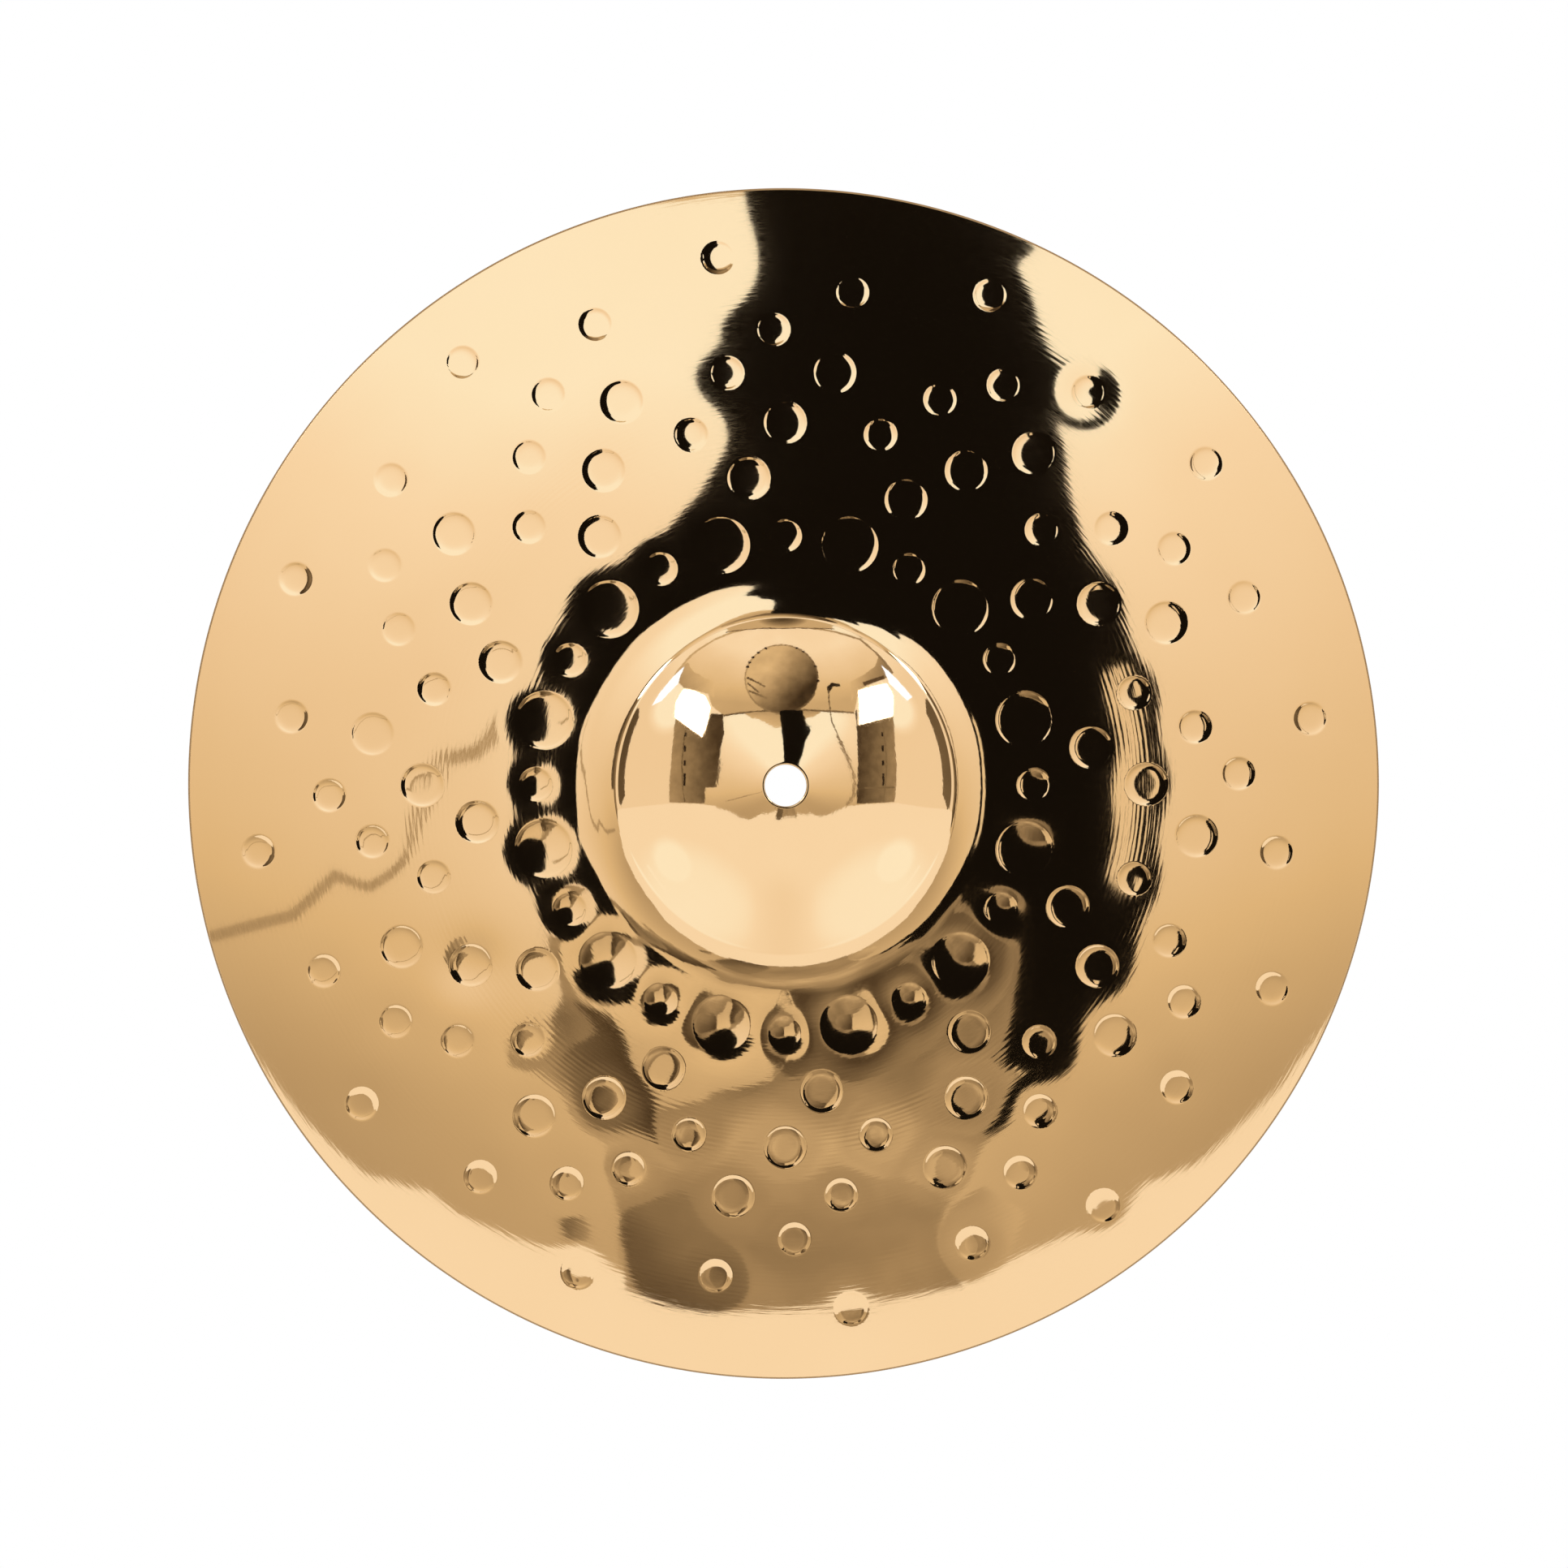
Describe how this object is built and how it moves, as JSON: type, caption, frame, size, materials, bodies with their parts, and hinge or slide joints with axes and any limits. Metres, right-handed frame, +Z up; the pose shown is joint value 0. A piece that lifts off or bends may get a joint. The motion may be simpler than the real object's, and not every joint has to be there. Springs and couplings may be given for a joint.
{
  "type": "crash cymbal",
  "caption": "Round hammered bronze crash cymbal with a domed bell, a thin curved bow and a centre hole for a stand rod.",
  "frame": {"origin": "centre of the circle that the rim rests on, straight below the rod hole", "axes": "+Z up the rod hole through the top of the bell, +X and +Y across the disc"},
  "size_m": [0.3556, 0.3556, 0.0381],
  "materials": {
    "bronze": "mirror polished, hammered and finely lathed"
  },
  "bodies": {
    "root": {"cymbal": "bronze"}
  },
  "joints": []
}
